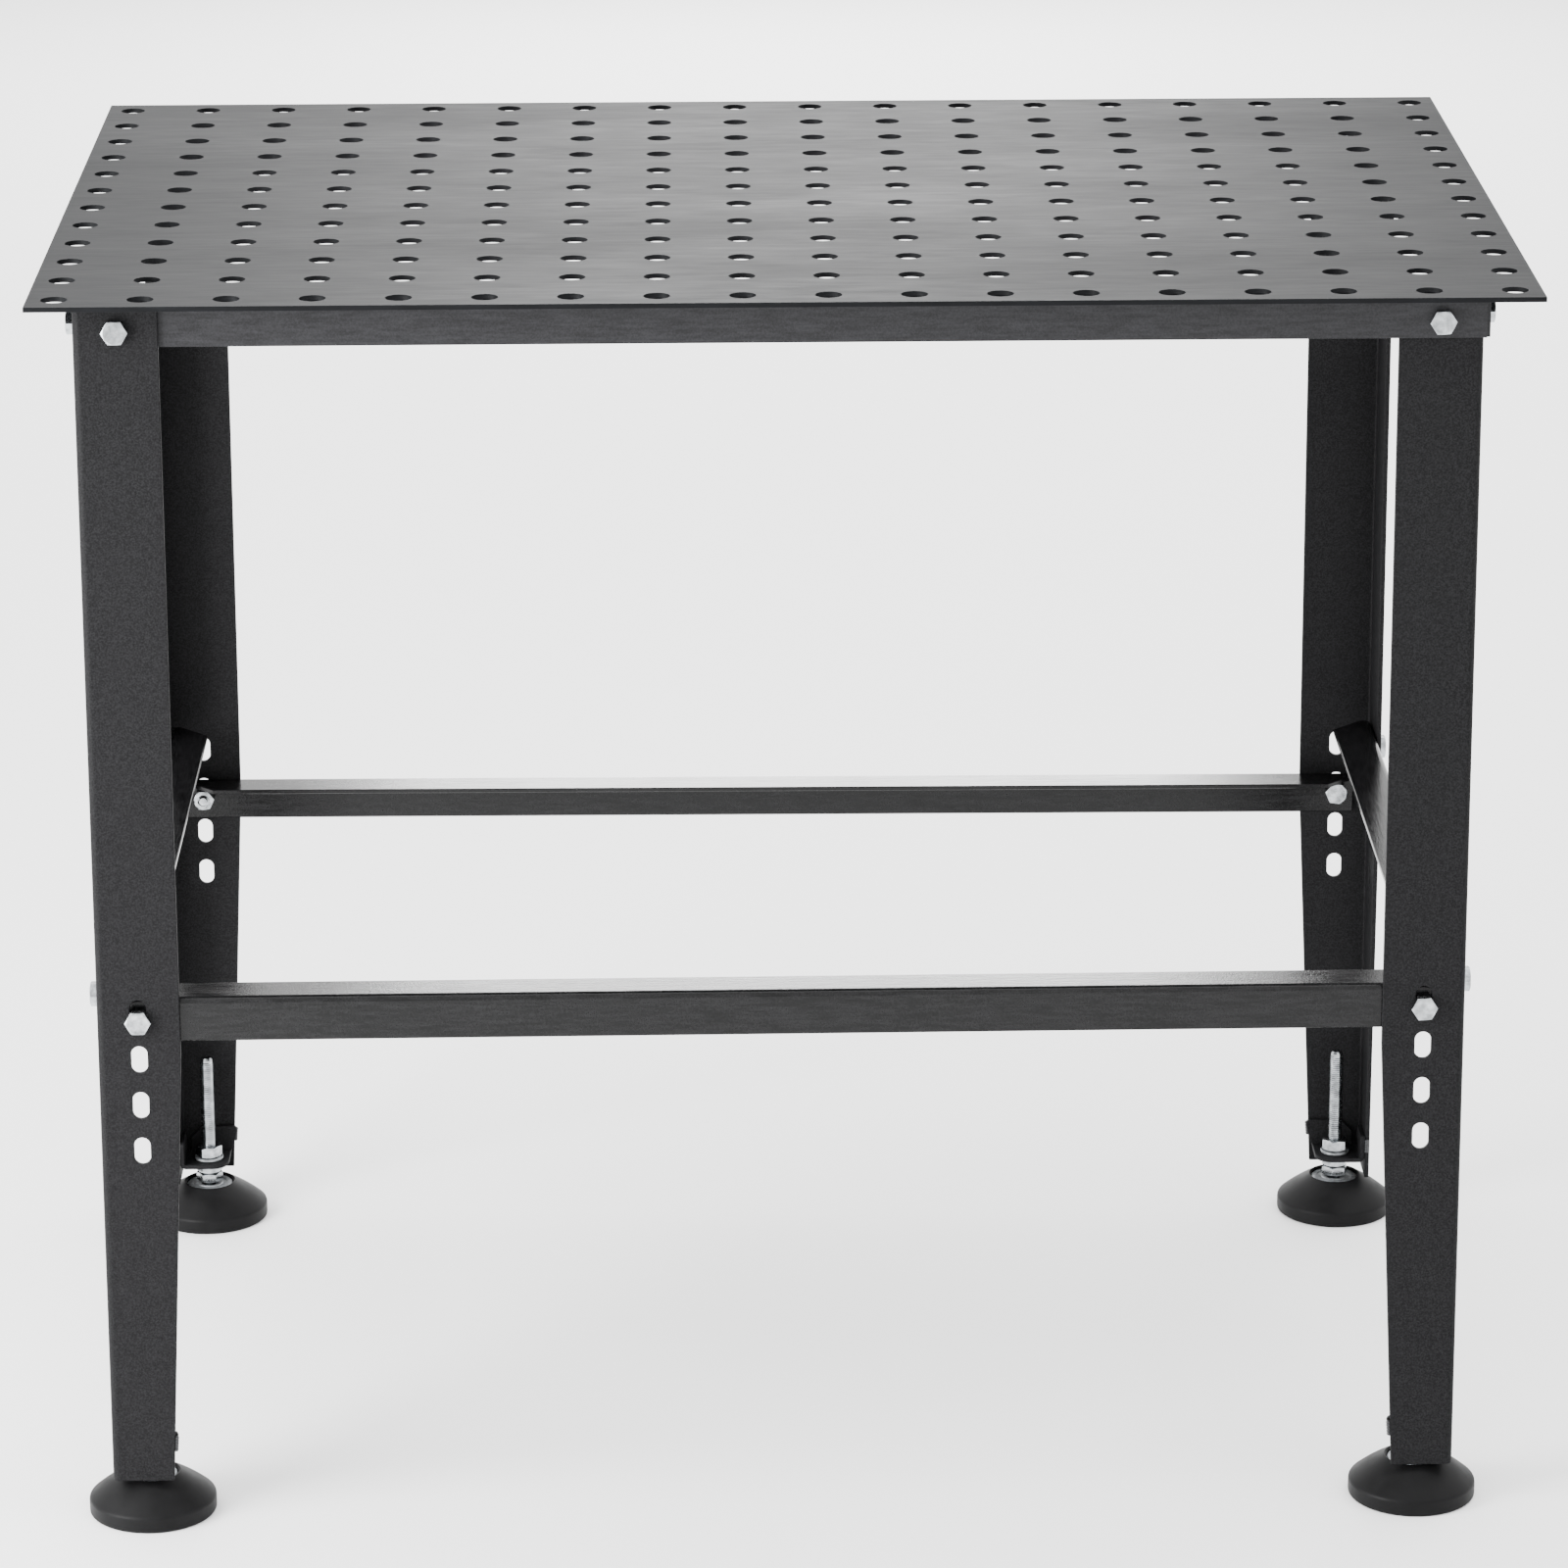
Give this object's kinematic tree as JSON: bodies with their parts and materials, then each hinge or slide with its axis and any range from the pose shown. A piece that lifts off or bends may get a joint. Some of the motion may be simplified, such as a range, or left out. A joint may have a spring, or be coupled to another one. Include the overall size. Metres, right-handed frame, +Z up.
{
  "type": "welding table",
  "caption": "Perforated fixture table top on an angle-steel frame with four bolted L-section legs, lower stretchers and swivel levelling feet.",
  "frame": {"origin": "on the floor, under the centre of the top plate", "axes": "+X along the length to the right, +Y to the back, +Z up"},
  "size_m": [0.9, 0.6, 0.79],
  "materials": {
    "plate_paint": "semi-gloss black paint over rolled sheet",
    "frame_paint": "semi-gloss black paint with faint rolling streaks",
    "leg_powder_coat": "matt black powder coat, fine grain",
    "zinc_plate": "bright zinc plating",
    "pad_rubber": "matt black moulded rubber",
    "weld": "painted weld bead"
  },
  "bodies": {
    "frame": {"top_plate": "plate_paint", "plate_weld": "weld", "front_rail": "frame_paint", "rear_rail": "frame_paint", "left_rail": "frame_paint", "right_rail": "frame_paint", "leg_front_left": "leg_powder_coat", "leg_front_right": "leg_powder_coat", "leg_rear_right": "leg_powder_coat", "leg_rear_left": "leg_powder_coat", "foot_bracket_front_left": "leg_powder_coat", "foot_bracket_front_right": "leg_powder_coat", "foot_bracket_rear_right": "leg_powder_coat", "foot_bracket_rear_left": "leg_powder_coat", "foot_washer_front_left": "zinc_plate", "foot_washer_front_right": "zinc_plate", "foot_washer_rear_right": "zinc_plate", "foot_washer_rear_left": "zinc_plate", "front_stretcher": "frame_paint", "rear_stretcher": "frame_paint", "left_stretcher": "frame_paint", "right_stretcher": "frame_paint", "rail_bolt_front_left_long": "zinc_plate", "rail_bolt_front_left_short": "zinc_plate", "rail_bolt_front_right_long": "zinc_plate", "rail_bolt_front_right_short": "zinc_plate", "rail_bolt_rear_right_long": "zinc_plate", "rail_bolt_rear_right_short": "zinc_plate", "rail_bolt_rear_left_long": "zinc_plate", "rail_bolt_rear_left_short": "zinc_plate", "stretcher_bolt_front_left_long": "zinc_plate", "stretcher_bolt_front_left_short": "zinc_plate", "stretcher_bolt_front_right_long": "zinc_plate", "stretcher_bolt_front_right_short": "zinc_plate", "stretcher_bolt_rear_right_long": "zinc_plate", "stretcher_bolt_rear_right_short": "zinc_plate", "stretcher_bolt_rear_left_long": "zinc_plate", "stretcher_bolt_rear_left_short": "zinc_plate"},
    "stud_front_left": {"foot_stud_front_left": "zinc_plate"},
    "pad_front_left": {"foot_pad_front_left": "pad_rubber", "foot_socket_ring_front_left": "zinc_plate"},
    "adjusting_nut_front_left": {"foot_adjusting_nut_front_left": "zinc_plate"},
    "lock_nut_front_left": {"foot_lock_nut_front_left": "zinc_plate"},
    "stud_front_right": {"foot_stud_front_right": "zinc_plate"},
    "pad_front_right": {"foot_pad_front_right": "pad_rubber", "foot_socket_ring_front_right": "zinc_plate"},
    "adjusting_nut_front_right": {"foot_adjusting_nut_front_right": "zinc_plate"},
    "lock_nut_front_right": {"foot_lock_nut_front_right": "zinc_plate"},
    "stud_rear_right": {"foot_stud_rear_right": "zinc_plate"},
    "pad_rear_right": {"foot_pad_rear_right": "pad_rubber", "foot_socket_ring_rear_right": "zinc_plate"},
    "adjusting_nut_rear_right": {"foot_adjusting_nut_rear_right": "zinc_plate"},
    "lock_nut_rear_right": {"foot_lock_nut_rear_right": "zinc_plate"},
    "stud_rear_left": {"foot_stud_rear_left": "zinc_plate"},
    "pad_rear_left": {"foot_pad_rear_left": "pad_rubber", "foot_socket_ring_rear_left": "zinc_plate"},
    "adjusting_nut_rear_left": {"foot_adjusting_nut_rear_left": "zinc_plate"},
    "lock_nut_rear_left": {"foot_lock_nut_rear_left": "zinc_plate"}
  },
  "joints": [
    {"name": "height_front_left", "type": "slide", "parent": "frame", "child": "stud_front_left", "axis": [0, 0, -1], "range_m": [0, 0.055]},
    {"name": "pad_tilt_front_left", "type": "hinge", "parent": "stud_front_left", "child": "pad_front_left", "pos_m": [-0.4016, -0.2516, 0.015], "axis": [1, 0, 0], "range_deg": [-8, 8]},
    {"name": "adjusting_nut_turn_front_left", "type": "hinge", "parent": "frame", "child": "adjusting_nut_front_left", "pos_m": [-0.4016, -0.2516, 0.04], "axis": [0, 0, 1], "continuous": true},
    {"name": "lock_nut_turn_front_left", "type": "hinge", "parent": "frame", "child": "lock_nut_front_left", "pos_m": [-0.4016, -0.2516, 0.04], "axis": [0, 0, 1], "continuous": true},
    {"name": "height_front_right", "type": "slide", "parent": "frame", "child": "stud_front_right", "axis": [0, 0, -1], "range_m": [0, 0.055]},
    {"name": "pad_tilt_front_right", "type": "hinge", "parent": "stud_front_right", "child": "pad_front_right", "pos_m": [0.395, -0.245, 0.015], "axis": [1, 0, 0], "range_deg": [-8, 8]},
    {"name": "adjusting_nut_turn_front_right", "type": "hinge", "parent": "frame", "child": "adjusting_nut_front_right", "pos_m": [0.395, -0.245, 0.04], "axis": [0, 0, 1], "continuous": true},
    {"name": "lock_nut_turn_front_right", "type": "hinge", "parent": "frame", "child": "lock_nut_front_right", "pos_m": [0.395, -0.245, 0.04], "axis": [0, 0, 1], "continuous": true},
    {"name": "height_rear_right", "type": "slide", "parent": "frame", "child": "stud_rear_right", "axis": [0, 0, -1], "range_m": [0, 0.055]},
    {"name": "pad_tilt_rear_right", "type": "hinge", "parent": "stud_rear_right", "child": "pad_rear_right", "pos_m": [0.395, 0.245, 0.015], "axis": [1, 0, 0], "range_deg": [-8, 8]},
    {"name": "adjusting_nut_turn_rear_right", "type": "hinge", "parent": "frame", "child": "adjusting_nut_rear_right", "pos_m": [0.395, 0.245, 0.04], "axis": [0, 0, 1], "continuous": true},
    {"name": "lock_nut_turn_rear_right", "type": "hinge", "parent": "frame", "child": "lock_nut_rear_right", "pos_m": [0.395, 0.245, 0.04], "axis": [0, 0, 1], "continuous": true},
    {"name": "height_rear_left", "type": "slide", "parent": "frame", "child": "stud_rear_left", "axis": [0, 0, -1], "range_m": [0, 0.055]},
    {"name": "pad_tilt_rear_left", "type": "hinge", "parent": "stud_rear_left", "child": "pad_rear_left", "pos_m": [-0.4016, 0.2516, 0.015], "axis": [1, 0, 0], "range_deg": [-8, 8]},
    {"name": "adjusting_nut_turn_rear_left", "type": "hinge", "parent": "frame", "child": "adjusting_nut_rear_left", "pos_m": [-0.4016, 0.2516, 0.04], "axis": [0, 0, 1], "continuous": true},
    {"name": "lock_nut_turn_rear_left", "type": "hinge", "parent": "frame", "child": "lock_nut_rear_left", "pos_m": [-0.4016, 0.2516, 0.04], "axis": [0, 0, 1], "continuous": true}
  ],
  "couplings": [
    {"joint": "adjusting_nut_turn_front_left", "follows": "height_front_left", "rad_per_m": 4188.8},
    {"joint": "lock_nut_turn_front_left", "follows": "height_front_left", "rad_per_m": 4188.8},
    {"joint": "adjusting_nut_turn_front_right", "follows": "height_front_right", "rad_per_m": 4188.8},
    {"joint": "lock_nut_turn_front_right", "follows": "height_front_right", "rad_per_m": 4188.8},
    {"joint": "adjusting_nut_turn_rear_right", "follows": "height_rear_right", "rad_per_m": 4188.8},
    {"joint": "lock_nut_turn_rear_right", "follows": "height_rear_right", "rad_per_m": 4188.8},
    {"joint": "adjusting_nut_turn_rear_left", "follows": "height_rear_left", "rad_per_m": 4188.8},
    {"joint": "lock_nut_turn_rear_left", "follows": "height_rear_left", "rad_per_m": 4188.8}
  ]
}
